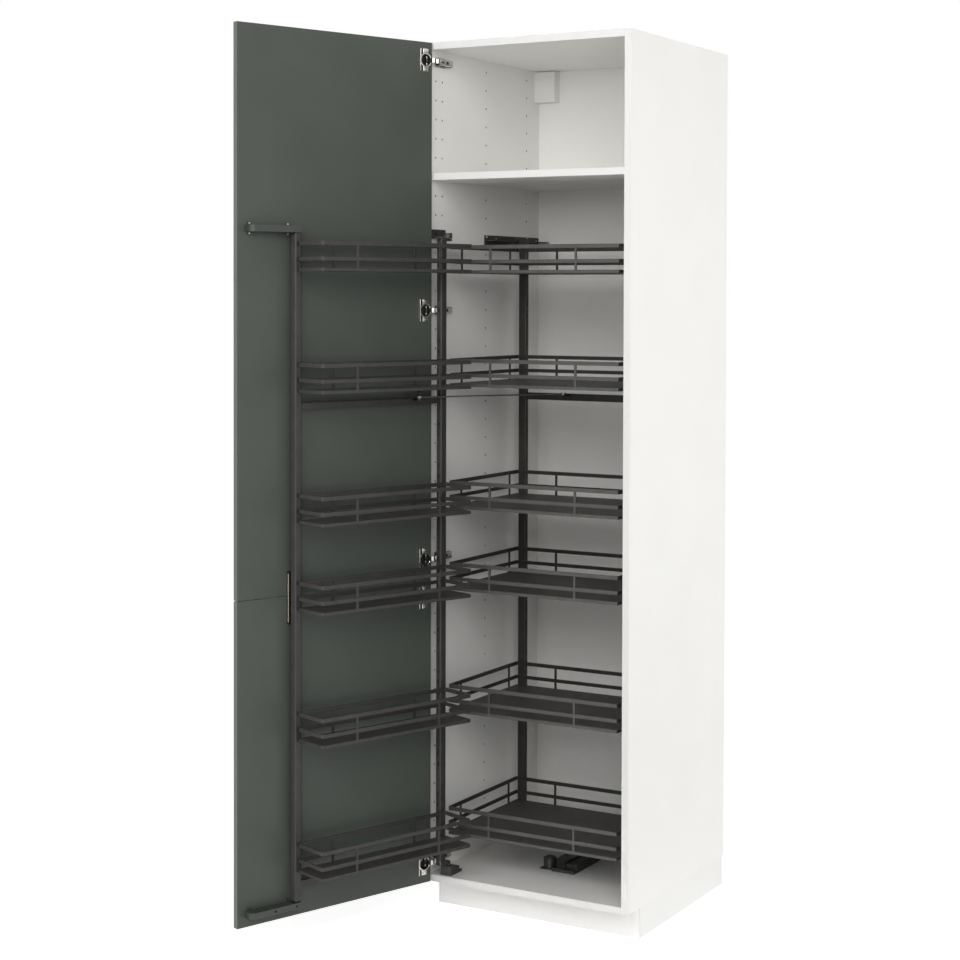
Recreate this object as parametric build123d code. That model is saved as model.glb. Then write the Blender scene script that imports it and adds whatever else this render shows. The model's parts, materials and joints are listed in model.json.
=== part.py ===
from build123d import *
from math import asin, atan2, cos, degrees, radians, sin, sqrt
import os

# A tall kitchen larder cabinet, millimetres, +Z up, drawn with the door open.
# It is modelled from the carcass front plane (y = 0) back, and then moved so that
# the origin is on the floor at the middle of the plinth's front face.

# Carcass
cabinet_width = 600.0
cabinet_depth = 600.0
plinth_height = 80.0
panel_thickness = 18.0
larder_height = 1824.0
upper_height = 322.0
back_thickness = 5.0
back_inset = 5.0
groove_depth = 6.0
groove_clearance = 0.2

# System holes in the side panels
hole_diameter = 5.0
hole_depth = 12.0
hole_pitch = 50.0
first_row = 34.0
front_column = 27.0
column_pair = 32.0
middle_column = 288.0
rear_column_inset = 84.0

# Dowels between the panels
dowel_diameter = 8.0
dowel_length = 30.0
dowel_in_side = 10.0
dowel_end_inset = 60.0
dowels_per_end = 3
dowel_clearance = 0.05

# Plinth and legs
plinth_setback = 76.0
plinth_thickness = 16.0
plinth_side_inset = 3.0
leg_side_gap = 16.0
leg_front_gap = 3.0
leg_rear_inset = 60.0
leg_stem_diameter = 30.0
leg_foot_diameter = 60.0
leg_foot_height = 12.0
leg_top_gap = 8.0
socket_wall = 5.0
socket_length = 30.0
socket_plate = 70.0
socket_plate_thickness = 4.0
socket_clearance = 0.1
clip_height = 14.0
clip_width = 30.0

# Suspension brackets in the upper corners
cover_width = 66.5
cover_depth = 30.0
cover_height = 86.5
cover_drop = 2.0
cover_wall = 2.0
bracket_thickness = 4.0
bracket_margin = 6.0
wall_hole_diameter = 9.0

# Door
door_thickness = 16.0
door_reveal = 3.5
door_right_reveal = 0.5
door_gap = 4.0
door_end_reveal = 1.5
seam_gap = 2.0
lower_leaf_height = 797.0
door_swing = 110.0
edge_round = 4.0

# Cup hinges
pin_inset = 11.6
pin_depth = 10.0
pin_diameter = 3.0
pin_clearance = 0.05
pin_seat = 3.0
cup_diameter = 35.0
cup_depth = 13.5
cup_centre = 22.0
cup_wall = 2.5
cup_floor = 0.6
cup_cavity_height = 18.0
cup_clearance = 0.05
cup_bore_spare = 0.2
flange_height = 59.0
flange_width = 20.0
flange_thickness = 1.2
flange_lip_height = 4.0
flange_lip_width = 1.6
flange_screw_spacing = 48.0
flange_screw_inset = 27.0
neck_height = 12.0
neck_thickness = 1.6
neck_slot_clearance = 0.4
neck_slot_inset = 6.3
eye_wall = 1.25
arm_height = 17.0
arm_front = 22.0
arm_rear = 93.0
arm_stand = 13.8
arm_wall = 2.0
plate_thickness = 2.5
plate_height = 26.0
plate_front = 20.0
plate_rear = 68.0
depth_screw_y = 63.0
depth_screw_diameter = 8.0
depth_screw_head = 1.2
depth_screw_length = 6.0

# Screws
system_screw_diameter = 4.9
system_screw_length = 13.0
system_head_diameter = 8.0
system_head_height = 2.0
door_screw_diameter = 3.5
door_screw_length = 12.0
door_head_diameter = 6.6
door_head_height = 1.5
screw_clearance = 0.05

# Joining plate over the seam of the door leaves
joiner_from_free_edge = 149.0
joiner_drop = 4.5
joiner_width = 12.0
joiner_height = 132.0
joiner_thickness = 7.0
joiner_corner = 5.0
joiner_seat = 2.0
joiner_head_spare = 0.4
joiner_screw_spacing = 33.0

# Swing-out rack
rack_offset = 22.0
rack_bottom = 29.0
rack_headroom = 153.0
pivot_post_place = 19.5
pivot_post_size = 20.0
post_corner = 4.0
tube_wall = 2.0
free_post_room = 126.7
free_post_width = 20.0
free_post_depth = 22.0
free_post_lift = 1.0
cap_thickness = 3.0
cap_plug = 12.0
cap_clearance = 0.1
pivot_arm_thickness = 6.0
pivot_arm_width = 22.0
pivot_pin_diameter = 10.0
lower_pin_length = 20.0
upper_pin_length = 14.0
bush_wall = 3.0
bush_clearance = 0.05
bush_press = 0.02
rack_bar_height = 16.0
rack_bar_thickness = 6.0
hook_slot_width = 4.0
hook_slot_height = 10.0
hook_slot_spacing = 28.0
hook_slot_pitch = 108.0
hook_slot_end = 40.0
upper_bar_height = 1241.5
lower_bar_height = 59.0

# Pivot bearings
bearing_gap = 4.0
bracket_gap = 1.0
bearing_width = 32.0
bearing_side = 12.0
bearing_depth = 43.0
bearing_front = 10.0
bearing_shoulder = 11.0
bearing_rear_height = 18.0
bearing_foot_depth = 13.0
bearing_foot_height = 6.0
bearing_screw_spacing = 16.0
bearing_floor = 4.0
bracket_plate = 3.0
bracket_plate_height = 24.0
bracket_plate_rear = 72.0
bracket_arm_thickness = 6.0
bracket_boss_diameter = 24.0
bracket_boss_height = 14.0

# Baskets
basket_bottom_level = 168.0
basket_gaps = (324.4, 322.8, 215.5, 321.7)
basket_top_drop = 21.5
rail_height = 10.0
middle_rail_height = 9.5
bottom_rail_height = 8.0
middle_rail_drop = 38.0
bottom_rail_drop = 64.4
rail_thickness = 3.0
basket_corner = 5.0
bar_width = 6.0
ledge_width = 5.0
ledge_thickness = 1.5
tray_thickness = 6.0
tray_clearance = 0.2
basket_seat_gap = 0.2
door_basket_start = 12.0
door_basket_past_post = 2.7
door_basket_depth = 106.5
door_basket_bar_inset = 104.0
inner_basket_side_gap = 33.0
inner_basket_front = 42.0
inner_back_room = 179.0
inner_bar_inset = 124.0
inner_side_bar_front = 62.0
inner_side_bar_rear = 48.0

# Guide rails and shoes on the door
rail_from_free_edge = 21.0
rail_length = 146.0
guide_height = 16.0
guide_wall = 3.0
guide_web = 3.0
guide_nose = 12.0
guide_end_gap = 1.5
guide_floor_gap = 8.0
guide_lug = 8.0
guide_lug_inset = 12.0
guide_lug_start = 23.0
access_hole_diameter = 6.0
access_hole_places = (15.0, 76.5)
shoe_width = 13.6
shoe_length = 14.0
shoe_clearance = 0.3
shoe_neck = 8.0
shoe_post_gap = 0.3

# Inner frame and its guides
frame_post_width = 25.0
frame_post_depth = 15.0
frame_post_inset = 34.5
frame_post_bottom = 20.0
frame_post_drop = 165.0
frame_bar_height = 19.5
frame_bar_thickness = 6.0
frame_bar_drop = 8.0
frame_lower_bar = 52.0
wall_plate_front = 279.0
wall_plate_back_gap = 6.0
wall_plate_height = 29.5
wall_plate_thickness = 2.5
wall_flange_width = 34.5
wall_flange_thickness = 3.0
wall_flange_rise = 11.0
wall_plate_edge = 4.5
glide_width = 33.0
glide_depth = 28.0
glide_height = 20.0
glide_clearance = 0.5
glide_end_gap = 1.5
runner_x = 35.5
runner_width = 30.0
runner_height = 15.7
runner_front = 200.0
runner_lift = 0.3
runner_clearance = 0.4
runner_upright = 6.0
floor_base_left = -12.0
drum_pad_left = -50.0
drum_pad_front = 186.0
floor_base_front = 180.0
floor_base_rear = 330.0
floor_base_thickness = 3.0
channel_wall = 4.6
channel_height = 21.0
channel_front = 195.0
channel_back_gap = 8.0
drum_x = -30.5
drum_y = 206.0
drum_diameter = 34.0
drum_height = 25.0
drum_hub_diameter = 24.0
drum_hub_height = 3.0
lip_height = 6.0
lip_thickness = 4.0
floor_screw_inset = 10.0
floor_screw_rear = 75.0

# Pull rod between the rack and the inner frame
ball_place = 104.5
ball_offset = 16.0
stud_plate_thickness = 5.0
stud_plate_width = 18.0
stud_pin_diameter = 6.0
stud_pin_length = 11.0
stud_ball_diameter = 10.0
stud_ball_lift = 3.3
stud_corner = 8.0
stud_clearance = 0.05
rod_diameter = 4.0
rod_near_eye_diameter = 14.0
rod_near_eye_height = 6.0
rod_near_gap = 0.4
rod_far_x = -97.6
rod_far_inset = 13.2
rod_far_eye_diameter = 16.0
rod_far_eye_height = 6.0
rod_far_hole_diameter = 6.0
rod_far_gap = 0.5
rod_bracket_thickness = 2.5
rod_bracket_width = 24.0
rod_bracket_corner = 11.0
rod_bracket_lift = 13.5

# Worked out from the sizes above
half_width = cabinet_width / 2
inner_half = half_width - panel_thickness
bottom_z = plinth_height
floor_z = bottom_z + panel_thickness
shelf_z = floor_z + larder_height
upper_z = shelf_z + panel_thickness
ceiling_z = upper_z + upper_height
top_z = ceiling_z + panel_thickness
back_y = cabinet_depth - back_inset - back_thickness
rear_column = cabinet_depth - rear_column_inset
first_row_z = floor_z + first_row
row_count = int((ceiling_z - first_row_z) // hole_pitch) + 1
row_heights = [first_row_z + hole_pitch * row for row in range(row_count)]
fitting_row = max(z for z in row_heights if z < shelf_z - rack_headroom + bracket_plate_height)
seam_z = bottom_z + door_end_reveal + lower_leaf_height + seam_gap / 2
seam_row = int((seam_z - first_row_z) // hole_pitch)
upper_hinge_row = seam_row + 2
middle_hinge_row = (upper_hinge_row + row_count - 1) // 2
hinge_rows = (0, seam_row, upper_hinge_row, middle_hinge_row, row_count - 1)
hinge_heights = [row_heights[row] for row in hinge_rows]
door_width = cabinet_width - door_reveal - door_right_reveal

# Where the open door and the rack stand in plan
turn = radians(door_swing)
pin_x = -half_width + door_reveal + pin_inset
pin_y = -door_gap - pin_depth
door_x = pin_x - pin_inset * cos(turn) + pin_depth * sin(turn)
door_y = pin_y + pin_inset * sin(turn) + pin_depth * cos(turn)
pivot_y = rack_offset - door_gap
pivot_x = door_x + (rack_offset - (pivot_y - door_y) * cos(turn)) / sin(turn)
rack_from_hinge = (pivot_x - door_x) * cos(turn) - (pivot_y - door_y) * sin(turn)
free_post_place = cabinet_width - free_post_room
shoe_place = rack_from_hinge + free_post_place
door_at = Pos(door_x, door_y, 0) * Rot(0, 0, -door_swing)
rack_at = Pos(pivot_x, pivot_y, 0) * Rot(0, 0, -door_swing)
origin_at = Pos(0, -plinth_setback, 0)

# Heights of the rack and its baskets
rack_low_z = floor_z + rack_bottom
rack_high_z = shelf_z - rack_headroom
basket_levels = [floor_z + basket_bottom_level]
for gap in basket_gaps:
    basket_levels.append(basket_levels[-1] + gap)
basket_levels.append(rack_high_z - basket_top_drop)
basket_levels.reverse()
post_face = pivot_post_size / 2
basket_rear = post_face + basket_seat_gap
inner_basket_rear = back_y - inner_back_room
frame_post_y = inner_basket_rear + basket_seat_gap
frame_top_z = shelf_z - frame_post_drop
frame_upper_bar = upper_bar_height - frame_bar_drop


def block(x0, x1, y0, y1, z0, z1):
    """A box between two corners."""
    centre = Pos((x0 + x1) / 2, (y0 + y1) / 2, (z0 + z1) / 2)
    return centre * Box(x1 - x0, y1 - y0, z1 - z0)


def upright(x, y, z0, z1, diameter):
    """A round bar along Z."""
    return Pos(x, y, (z0 + z1) / 2) * Cylinder(diameter / 2, z1 - z0)


def along_x(x0, x1, y, z, diameter):
    """A round bar along X."""
    return Pos((x0 + x1) / 2, y, z) * Rot(0, 90, 0) * Cylinder(diameter / 2, x1 - x0)


def along_y(x, y0, y1, z, diameter):
    """A round bar along Y."""
    return Pos(x, (y0 + y1) / 2, z) * Rot(90, 0, 0) * Cylinder(diameter / 2, y1 - y0)


def mirrored(shape):
    """The same piece on the other side of the cabinet."""
    return mirror(shape, about=Plane.YZ)


def rounded_slab(x0, x1, y0, y1, z0, z1, radius):
    """A flat piece with rounded upright corners."""
    outline = RectangleRounded(x1 - x0, y1 - y0, radius)
    return Pos((x0 + x1) / 2, (y0 + y1) / 2, z0) * extrude(outline, z1 - z0)


def hoop(x0, x1, y0, y1, z0, z1, radius, wall):
    """A flat bar bent round into a closed frame."""
    outer = rounded_slab(x0, x1, y0, y1, z0, z1, radius)
    inside = (x0 + wall, x1 - wall, y0 + wall, y1 - wall, z0, z1)
    if wall < radius:
        return outer - rounded_slab(*inside, radius - wall)
    return outer - block(*inside)


def system_screw():
    """Head on the plane z = 0, shank down."""
    head = upright(0, 0, 0, system_head_height, system_head_diameter)
    return head + upright(0, 0, -system_screw_length, 0, system_screw_diameter)


def door_screw():
    """Head on the plane z = 0, shank down."""
    head = upright(0, 0, 0, door_head_height, door_head_diameter)
    return head + upright(0, 0, -door_screw_length, 0, door_screw_diameter)


def system_hole_below(x, y, z, depth=hole_depth):
    """A blind screw hole from a level surface down."""
    return upright(x, y, z - depth, z, hole_diameter)


# Carcass panels

panel_ends = (bottom_z, shelf_z, ceiling_z)


def dowel_places(depth):
    """Distances from the front of the dowels in one panel end."""
    step = (depth - 2 * dowel_end_inset) / (dowels_per_end - 1)
    return [dowel_end_inset + step * index for index in range(dowels_per_end)]


def left_dowels(spare):
    """The dowels in the left side panel, with a spare radius for their holes."""
    start = -inner_half - dowel_in_side - spare
    end = start + dowel_length + 2 * spare
    bars = []
    for z in panel_ends:
        for y in dowel_places(back_y):
            bars.append(along_x(start, end, y, z + panel_thickness / 2, dowel_diameter + 2 * spare))
    return bars


def back_groove():
    """The groove that the back panel sits in, cut all round."""
    reach = inner_half + groove_depth
    low, high = floor_z - groove_depth, ceiling_z + groove_depth
    front = back_y - groove_clearance / 2
    return block(-reach, reach, front, front + back_thickness + groove_clearance, low, high)


def system_holes():
    """The blind hole grid in the left panel, left out where the shelf covers it."""
    columns = (front_column, front_column + column_pair, middle_column, rear_column)
    rows = [z for z in row_heights if z + hole_diameter < shelf_z or z - hole_diameter > upper_z]
    start = -inner_half - hole_depth
    return [along_x(start, -inner_half, y, z, hole_diameter) for z in rows for y in columns]


def left_side_panel():
    panel = block(-half_width, -inner_half, 0, cabinet_depth, bottom_z, top_z)
    return panel - system_holes() - left_dowels(dowel_clearance) - back_groove()


def cross_panel(z, depth):
    """A panel that spans the sides, bored for its dowels."""
    panel = block(-inner_half, inner_half, 0, depth, z, z + panel_thickness)
    bores = left_dowels(dowel_clearance)
    return panel - bores - [mirrored(bore) for bore in bores] - back_groove()


def floor_screw_places():
    """Where screws go down into the bottom panel."""
    return bearing_screw_places() + floor_guide_screw_places()


def bottom_panel():
    holes = [system_hole_below(x, y, floor_z) for x, y in floor_screw_places()]
    return cross_panel(bottom_z, cabinet_depth) - holes


def wall_hole(side):
    """The hole for a wall hook, through bracket and back panel."""
    x = side * (inner_half - cover_width / 2)
    z = ceiling_z - cover_drop - cover_height / 2
    return along_y(x, back_y - cover_depth, cabinet_depth, z, wall_hole_diameter)


def back_panel():
    reach = inner_half + groove_depth - groove_clearance
    low, high = floor_z - groove_depth + groove_clearance, ceiling_z + groove_depth - groove_clearance
    panel = block(-reach, reach, back_y, back_y + back_thickness, low, high)
    return panel - wall_hole(-1) - wall_hole(1)


def carcass_dowels():
    left = left_dowels(0)
    return left + [mirrored(bar) for bar in left]


# Plinth, legs and suspension

def plinth_front():
    reach = half_width - plinth_side_inset
    return block(-reach, reach, plinth_setback, plinth_setback + plinth_thickness, 0, plinth_height)


def plinth_sides():
    outer = half_width - plinth_side_inset
    start = plinth_setback + plinth_thickness
    end = cabinet_depth - plinth_side_inset
    board = block(-outer, -outer + plinth_thickness, start, end, 0, plinth_height)
    return [board, mirrored(board)]


leg_room = max(socket_plate, leg_foot_diameter) / 2
leg_x = half_width - plinth_side_inset - plinth_thickness - leg_side_gap - leg_room
leg_front = plinth_setback + plinth_thickness + leg_front_gap + leg_room
leg_rear = cabinet_depth - leg_rear_inset
leg_places = [(x, y) for x in (-leg_x, leg_x) for y in (leg_front, leg_rear)]
socket_diameter = leg_stem_diameter + 2 * (socket_wall + socket_clearance)


def levelling_leg(x, y):
    stem_top = bottom_z - leg_top_gap
    foot = upright(x, y, 0, leg_foot_height, leg_foot_diameter)
    return foot + upright(x, y, leg_foot_height, stem_top, leg_stem_diameter)


def leg_socket(x, y):
    plate_z = bottom_z - socket_plate_thickness
    half = socket_plate / 2
    plate = block(x - half, x + half, y - half, y + half, plate_z, bottom_z)
    tube = upright(x, y, plate_z - socket_length, plate_z, socket_diameter)
    bore_top = bottom_z - leg_top_gap + socket_clearance
    return plate + tube - upright(x, y, 0, bore_top, leg_stem_diameter + 2 * socket_clearance)


def plinth_clip(x):
    """A clip from the plinth's rear face round the front leg's stem."""
    start = plinth_setback + plinth_thickness
    low = leg_foot_height + socket_wall
    clip = block(x - clip_width / 2, x + clip_width / 2, start, leg_front, low, low + clip_height)
    return clip - upright(x, leg_front, 0, bottom_z, leg_stem_diameter + 2 * socket_clearance)


def suspension_cover():
    """The white cap in the upper left corner, open at the back."""
    x0, x1 = -inner_half, -inner_half + cover_width
    z1 = ceiling_z - cover_drop
    z0 = z1 - cover_height
    shell = block(x0, x1, back_y - cover_depth, back_y, z0, z1)
    inside = block(x0 + cover_wall, x1 - cover_wall, back_y - cover_depth + cover_wall, back_y,
                   z0 + cover_wall, z1 - cover_wall)
    return shell - inside


def suspension_bracket():
    """The steel angle behind the cap, on the back panel and the side."""
    x0 = -inner_half + cover_wall
    x1 = -inner_half + cover_width - bracket_margin
    z1 = ceiling_z - cover_drop - bracket_margin
    z0 = z1 - cover_height + 2 * bracket_margin
    y0 = back_y - cover_depth + bracket_margin
    angle = block(x0, x1, back_y - bracket_thickness, back_y, z0, z1)
    angle += block(x0, x0 + bracket_thickness, y0, back_y, z0, z1)
    return angle - wall_hole(-1)


# Cup hinges

arm_x = -inner_half + arm_stand
neck_x = arm_x - neck_thickness
pin_head = cup_cavity_height / 2 + pin_seat


def hinge_plate(z):
    half = plate_height / 2
    x0 = -inner_half
    plate = block(x0, x0 + plate_thickness, plate_front, plate_rear, z - half, z + half)
    holes = [along_x(x0, x0 + plate_thickness, y, z, hole_diameter) for y in hinge_screw_places()]
    return plate - holes


def hinge_screw_places():
    return (front_column, front_column + column_pair)


def hinge_arm(z):
    """A channel over the plate, a flat neck into the cup, and an eye on the pin."""
    half, low = arm_height / 2, -inner_half + plate_thickness
    arm = block(low, arm_x, arm_front, arm_rear, z - half, z + half)
    arm -= block(low, arm_x - arm_wall, arm_front, arm_rear, z - half + arm_wall, z + half - arm_wall)
    neck_half = neck_height / 2
    neck_y = pin_y - neck_thickness / 2
    arm += block(neck_x, arm_x, neck_y, arm_front, z - neck_half, z + neck_half)
    arm += block(pin_x, arm_x, neck_y, neck_y + neck_thickness, z - neck_half, z + neck_half)
    bore = pin_diameter + 2 * pin_clearance
    arm += upright(pin_x, pin_y, z - neck_half, z + neck_half, bore + 2 * eye_wall)
    arm -= upright(pin_x, pin_y, z - neck_half, z + neck_half, bore)
    hole = depth_screw_diameter / 2 + 2 * screw_clearance
    return arm - along_x(arm_x - arm_wall, arm_x, depth_screw_y, z, hole)


def depth_screw(z):
    """The adjusting screw in the arm: a flat head and a short shank."""
    head = along_x(arm_x, arm_x + depth_screw_head, depth_screw_y, z, depth_screw_diameter)
    return head + along_x(arm_x - depth_screw_length, arm_x, depth_screw_y, z, depth_screw_diameter / 2)


def cup_cavity(z):
    """The room in the cup for the neck and its eye, in the door's own frame."""
    deep = cup_depth - cup_floor
    half = cup_cavity_height / 2
    drum = along_y(cup_centre, -deep, flange_thickness, z, cup_diameter - 2 * cup_wall)
    band = block(0, door_width, -deep, flange_thickness, z - half, z + half)
    slot_half = neck_height / 2 + neck_slot_clearance
    slot = block(neck_slot_inset, cup_centre, -deep, flange_thickness, z - slot_half, z + slot_half)
    return (drum & band) + slot


def hinge_cup(z):
    body_diameter = cup_diameter - 2 * cup_clearance
    cup = along_y(cup_centre, -cup_depth, flange_thickness, z, body_diameter)
    outline = RectangleRounded(flange_width, flange_height, flange_width / 2 - flange_thickness)
    wing = Pos(cup_centre, 0, z) * Rot(90, 0, 0) * extrude(outline, -flange_thickness)
    edge = cup_centre + flange_width / 2
    half = flange_height / 2 - flange_lip_height
    lip = block(edge - flange_lip_width, edge, 0, flange_lip_height, z - half, z + half)
    cup = cup + wing + lip - cup_cavity(z)
    cup -= upright(pin_inset, -pin_depth, z - pin_head, z + pin_head, pin_diameter)
    for place in cup_screw_places(z):
        cup -= along_y(place[0], 0, flange_thickness, place[1], door_screw_diameter + 2 * screw_clearance)
    return cup


def cup_screw_places(z):
    half = flange_screw_spacing / 2
    return [(flange_screw_inset, z - half), (flange_screw_inset, z + half)]


def hinge_pin(z):
    return upright(pin_inset, -pin_depth, z - pin_head, z + pin_head, pin_diameter)


# Door leaves and what is screwed to them, in the door's own frame:
# X from the hinge edge to the free edge, Y out of the inner face

upper_leaf_top = top_z - door_end_reveal
lower_leaf_bottom = bottom_z + door_end_reveal
joiner_x = door_width - joiner_from_free_edge
joiner_z = seam_z - joiner_drop
rail_x1 = door_width - rail_from_free_edge
rail_x0 = rail_x1 - rail_length
lug_places = (rail_x0 + guide_lug_start, rail_x1 - guide_lug_inset)
rail_top_z = rack_high_z + free_post_lift + cap_thickness + guide_end_gap
rail_bottom_z = floor_z + guide_floor_gap


def joiner_screw_heights():
    """Two screws in each leaf, either side of the seam."""
    return [joiner_z + joiner_screw_spacing * step for step in (-1.5, -0.5, 0.5, 1.5)]


def rail_lug_heights():
    """The levels of the screw lugs: above and below the top rail, above the bottom rail."""
    half = guide_lug / 2
    above = [z + guide_height + half for z in (rail_top_z, rail_bottom_z)]
    return above + [rail_top_z - half]


def door_screw_places():
    """Every screw in the door: its place along the door, its level, and what it clamps."""
    places = []
    for z in hinge_heights:
        places += [(x, level, flange_thickness) for x, level in cup_screw_places(z)]
    places += [(joiner_x, z, joiner_seat) for z in joiner_screw_heights()]
    for z in rail_lug_heights():
        places += [(x, z, guide_web) for x in lug_places]
    return places


def door_leaf(z0, z1):
    leaf = block(0, door_width, -door_thickness, 0, z0, z1)
    corner = block(0, edge_round, -edge_round, 0, z0, z1)
    leaf -= corner - upright(edge_round, -edge_round, z0, z1, 2 * edge_round)
    cups = [z for z in hinge_heights if z0 < z < z1]
    leaf -= [along_y(cup_centre, -cup_depth - cup_bore_spare, 0, z, cup_diameter) for z in cups]
    bore = door_screw_diameter + 2 * screw_clearance
    depth = door_screw_length
    leaf -= [along_y(x, -depth, 0, z, bore) for x, z, _ in door_screw_places() if z0 < z < z1]
    return leaf


def joining_plate():
    """A bar over the seam, counterbored for its screws."""
    outline = RectangleRounded(joiner_width, joiner_height, joiner_corner)
    bar = Pos(joiner_x, 0, joiner_z) * Rot(90, 0, 0) * extrude(outline, -joiner_thickness)
    bore = door_screw_diameter + 2 * screw_clearance
    head = door_head_diameter + 2 * joiner_head_spare
    for z in joiner_screw_heights():
        bar -= along_y(joiner_x, 0, joiner_seat, z, bore)
        bar -= along_y(joiner_x, joiner_seat, joiner_thickness, z, head)
    return bar


def guide_rail(z0, opens_down):
    """A channel for the shoe, on a web with screw lugs; the bottom one has two holes in its face."""
    z1 = z0 + guide_height
    groove = shoe_width + 2 * shoe_clearance
    near, far = rack_offset - groove / 2, rack_offset + groove / 2
    depth = far + guide_wall
    rail = block(rail_x0, rail_x1, 0, depth, z0, z1)
    outline = rounded_slab(rail_x0, rail_x1, -depth, depth, z0, z1, guide_nose)
    square = block(rail_x0, rail_x1 - guide_nose, 0, depth, z0, z1)
    rail = rail & (outline + square)
    low, high = (z0, z1 - guide_wall) if opens_down else (z0 + guide_wall, z1)
    rail -= block(rail_x0 + guide_wall, rail_x1 - guide_nose, near, far, low, high)
    rail -= block(rail_x0, rail_x1 - guide_nose, guide_web, near - guide_wall, low, high)
    if not opens_down:
        middle = (z0 + z1) / 2
        rail -= [along_y(rail_x0 + place, far, depth, middle, access_hole_diameter)
                 for place in access_hole_places]
    half = guide_lug / 2
    for z in rail_lug_heights():
        if z0 - guide_lug < z < z1 + guide_lug:
            for x in lug_places:
                lug = block(x - half, x + half, 0, guide_web, z - half, z + half)
                rail += lug - along_y(x, 0, guide_web, z, door_screw_diameter + 2 * screw_clearance)
    return rail


def guide_shoe(opens_down):
    """A sliding block in the rail with a neck that points at the free post."""
    half, side = shoe_length / 2, shoe_width / 2
    z0 = (rail_top_z if opens_down else rail_bottom_z + guide_wall + shoe_clearance)
    z1 = (rail_top_z + guide_height - guide_wall - shoe_clearance if opens_down
          else rail_bottom_z + guide_height)
    body = rounded_slab(shoe_place - half, shoe_place + half, rack_offset - side, rack_offset + side,
                        z0, z1, min(half, side) - shoe_clearance)
    post_top = rack_high_z + free_post_lift + cap_thickness
    post_low = rack_low_z - free_post_lift
    if opens_down:
        return body + upright(shoe_place, rack_offset, post_top + shoe_post_gap, z0, shoe_neck)
    return body + upright(shoe_place, rack_offset, z1, post_low - shoe_post_gap, shoe_neck)


# Rack, in its own frame: X from its pivot to its free end, Y towards the baskets

pivot_pin_low = rack_low_z - lower_pin_length
pivot_pin_high = rack_high_z + upper_pin_length
pivot_post_x0 = pivot_post_place - pivot_post_size / 2
pivot_post_x1 = pivot_post_place + pivot_post_size / 2


def rectangular_tube(x0, x1, y0, y1, z0, z1):
    """A tube with rounded upright corners."""
    return hoop(x0, x1, y0, y1, z0, z1, post_corner, tube_wall)


def hook_slots(face, y, z0, z1):
    """Pairs of slots for basket hooks, through the wall of a tube behind this face."""
    half, slots = hook_slot_width / 2, []
    z = z0 + hook_slot_end
    while z + hook_slot_spacing + hook_slot_height < z1 - hook_slot_end:
        for low in (z, z + hook_slot_spacing):
            slots.append(block(face - tube_wall, face, y - half, y + half, low, low + hook_slot_height))
        z += hook_slot_pitch
    return slots


def pivot_post():
    z0, z1 = rack_low_z + pivot_arm_thickness, rack_high_z - pivot_arm_thickness
    tube = rectangular_tube(pivot_post_x0, pivot_post_x1, -post_face, post_face, z0, z1)
    return tube - hook_slots(pivot_post_x1, 0, z0, z1)


def pivot_arm(z):
    """A flat arm from the pivot to under or over the whole post."""
    outline = SlotCenterToCenter(pivot_post_place, pivot_arm_width)
    arm = Pos(pivot_post_place / 2, 0, z) * extrude(outline, pivot_arm_thickness)
    return arm + rounded_slab(pivot_post_x0, pivot_post_x1, -post_face, post_face,
                              z, z + pivot_arm_thickness, post_corner)


def pivot_arms():
    """The arms that set the post off from its pivot, each with its pin."""
    lower = pivot_arm(rack_low_z) + upright(0, 0, pivot_pin_low, rack_low_z, pivot_pin_diameter)
    upper = pivot_arm(rack_high_z - pivot_arm_thickness)
    upper += upright(0, 0, rack_high_z, pivot_pin_high, pivot_pin_diameter)
    return [lower, upper]


free_post_z0 = rack_low_z - free_post_lift + cap_thickness
free_post_z1 = rack_high_z + free_post_lift
free_x0 = free_post_place - free_post_width / 2
free_x1 = free_post_place + free_post_width / 2


def tube_cap(x0, x1, y0, y1, z, up):
    """A plate over a tube's end with a plug inside it."""
    inset = tube_wall + cap_clearance
    plate_end, plug_end = z + up * cap_thickness, z - up * cap_plug
    plate = rounded_slab(x0, x1, y0, y1, min(z, plate_end), max(z, plate_end), post_corner)
    return plate + rounded_slab(x0 + inset, x1 - inset, y0 + inset, y1 - inset,
                                min(z, plug_end), max(z, plug_end), post_corner - inset)


free_post_sides = (free_x0, free_x1, post_face - free_post_depth, post_face)


def free_post():
    return rectangular_tube(*free_post_sides, free_post_z0, free_post_z1)


def free_post_caps():
    return [tube_cap(*free_post_sides, free_post_z0, -1), tube_cap(*free_post_sides, free_post_z1, 1)]


def rack_crossbars():
    half = rack_bar_thickness / 2
    heights = (floor_z + lower_bar_height, floor_z + upper_bar_height)
    return [block(pivot_post_x1, free_x0, -half, half, z, z + rack_bar_height) for z in heights]


stud_top_z = floor_z + upper_bar_height + rack_bar_height


def ball_stud():
    """A plate on the upper crossbar with the pin and the ball that the rod turns on."""
    half = stud_plate_width / 2
    pin_top = stud_top_z + stud_pin_length
    y0, y1 = rack_bar_thickness / 2, ball_offset + half
    stud = rounded_slab(ball_place - half, ball_place + half, y0 - half, y1,
                        stud_top_z - stud_plate_thickness, stud_top_z, stud_corner)
    stud &= block(ball_place - half, ball_place + half, y0, y1, 0, pin_top)
    stud += upright(ball_place, ball_offset, stud_top_z, pin_top, stud_pin_diameter)
    ball = Sphere(stud_ball_diameter / 2)
    return stud + Pos(ball_place, ball_offset, pin_top + stud_ball_lift) * ball


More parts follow.
